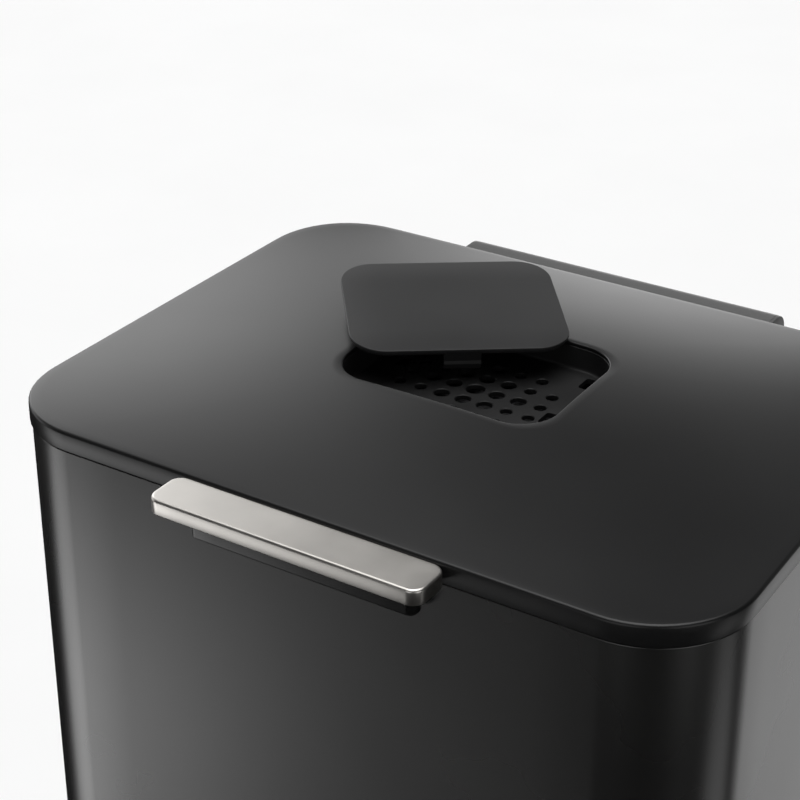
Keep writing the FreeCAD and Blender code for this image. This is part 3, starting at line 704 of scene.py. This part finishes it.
DONE = {"casing", "bucket", "lid_shell", "filter_well", "filter_cover", "handle_bar", "handle_block",
        "hinge_cover", "hinge_cover_caps"}
SCREW_AXES = {"hinge_screws": "Y", "foot_screws": "Z", "rail_screws": "Z"}
for cad_node in sorted(set(frame["nodes"]) - DONE):
    if cad_node in SCREW_AXES:
        driven_screws(cad_node + "_piece", cad_node, SCREW_AXES[cad_node])
    else:
        eased_copy(cad_node + "_piece", cad_node)


# ---------------------------------------------------------------- stage, light and camera

FLOOR_REACH = 9.0            # m


def floor():
    """Plain pale floor."""
    builder = bmesh.new()
    bmesh.ops.create_grid(builder, x_segments=8, y_segments=8, size=FLOOR_REACH)
    made = to_object("floor", builder)
    made.location.z = CAD_BOX[0][2]
    paint, tree, shader = new_material("floor_paint")
    shade = tint(tree, noise(tree, 3.0), (0.9, 0.9, 0.9), (0.92, 0.92, 0.92))
    link(tree, shade, shader.inputs["Base Color"])
    shader.inputs["Roughness"].default_value = 0.9
    made.data.materials.append(paint)
    made.visible_glossy = False


SURROUND = 0.02              # strength of the light between the lamps
SOFT_LAMPS = (
    # azimuth from the back towards the right, elevation, half-angle of the bright core, of its fade, strength
    (0, 90, 8, 41, 3.6),
    (-123, -33, 4, 18, 2.2),
    (-133, -34, 2, 10, 1.0),
    (-142, -36, 4, 20, 0.2),
    (19, -30, 4, 20, 1.0),
    (68, -38, 6, 16, 0.6),
    (-60, 20, 10, 28, 2.6),
    (-17, 0, 10, 26, 2.1),
    (8, 0, 12, 24, 1.0),
    (112, 2, 16, 30, 0.9),
    (178, 4, 12, 28, 0.9),
    (-100, 4, 12, 28, 0.9),
)


def studio():
    """Soft studio light: a dim surround with broad soft lamps."""
    world = bpy.data.worlds.new("studio")
    bpy.context.scene.world = world
    world.use_nodes = True
    tree = world.node_tree
    background = tree.nodes["Background"]
    background.inputs["Color"].default_value = (1, 1, 1, 1)
    place = node(tree, "ShaderNodeTexCoord")
    total = None
    for azimuth, elevation, core, fade, strength in SOFT_LAMPS:
        around, up = math.radians(azimuth), math.radians(elevation)
        aim = (math.cos(up) * math.sin(around), math.cos(up) * math.cos(around), math.sin(up))
        facing = node(tree, "ShaderNodeVectorMath", operation="DOT_PRODUCT")
        facing.inputs[1].default_value = aim
        link(tree, place.outputs["Generated"], facing.inputs[0])
        lamp = node(tree, "ShaderNodeMapRange", interpolation_type="SMOOTHSTEP")
        lamp.inputs["From Min"].default_value = math.cos(math.radians(fade))
        lamp.inputs["From Max"].default_value = math.cos(math.radians(core))
        lamp.inputs["To Min"].default_value = 0.0
        lamp.inputs["To Max"].default_value = strength
        link(tree, facing.outputs["Value"], lamp.inputs["Value"])
        if total is None:
            total = lamp.outputs["Result"]
        else:
            both = node(tree, "ShaderNodeMath", operation="ADD")
            link(tree, total, both.inputs[0])
            link(tree, lamp.outputs["Result"], both.inputs[1])
            total = both.outputs["Value"]
    dim = node(tree, "ShaderNodeMath", operation="ADD")
    dim.inputs[1].default_value = SURROUND
    link(tree, total, dim.inputs[0])
    link(tree, dim.outputs["Value"], background.inputs["Strength"])


CAMERA_PLACE = (406.4, -708.4, 1080.9)        # mm
CAMERA_TARGET = (-86.0, 68.6, 650.0)          # mm
CAMERA_LENS = 86.4
CAMERA_SHIFT = (-0.0009, -0.1334)


def camera():
    """Camera in front of the right corner, looking down at the lid."""
    data = bpy.data.cameras.new("camera")
    data.lens = CAMERA_LENS
    data.shift_x, data.shift_y = CAMERA_SHIFT
    made = bpy.data.objects.new("camera", data)
    bpy.context.scene.collection.objects.link(made)
    target = Vector(CAMERA_TARGET) * MM
    made.location = Vector(CAMERA_PLACE) * MM
    made.rotation_euler = (target - made.location).to_track_quat("-Z", "Y").to_euler()
    data.clip_end = 60
    bpy.context.scene.camera = made


floor()
studio()
camera()
bpy.context.scene.view_settings.view_transform = "Standard"
